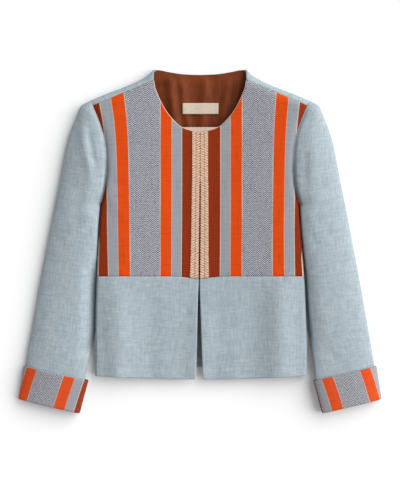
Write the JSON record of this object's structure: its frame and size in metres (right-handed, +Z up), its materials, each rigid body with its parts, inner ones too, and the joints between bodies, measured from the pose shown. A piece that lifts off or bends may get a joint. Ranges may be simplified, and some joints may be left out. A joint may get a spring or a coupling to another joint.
{
  "type": "linen blazer",
  "caption": "Collarless linen blazer laid out on its back, with striped fronts, braided front edges, plain linen sleeves and lower fronts, and striped turned-back cuffs",
  "frame": {"origin": "the centre of the garment's box, on the surface that it lies on", "axes": "+Z is up from the surface; +Y runs from the hem to the neck; +X is the wearer's left"},
  "size_m": [0.7082, 0.6692, 0.0375],
  "materials": {
    "linen": "pale blue-grey slubbed linen, plain weave, matt",
    "striped_cloth": "orange, brown and blue-grey stripes with herringbone bands, matt",
    "braid": "knobbly woven braid, peach and cream with brown flecks, matt",
    "cream_cloth": "plain cream cotton tape, matt",
    "lining_satin": "rust brown lining satin, soft sheen"
  },
  "bodies": {
    "root": {"back": "linen", "front_left": "striped_cloth", "front_right": "striped_cloth", "peplum_left": "linen", "peplum_right": "linen", "sleeve_left": "linen", "sleeve_right": "linen", "cuff_left": "striped_cloth", "cuff_right": "striped_cloth", "braid_left": "braid", "braid_right": "braid", "neck_piping_left": "cream_cloth", "neck_piping_right": "cream_cloth", "neck_underlap": "cream_cloth", "lining": "lining_satin", "label": "cream_cloth"}
  },
  "joints": []
}
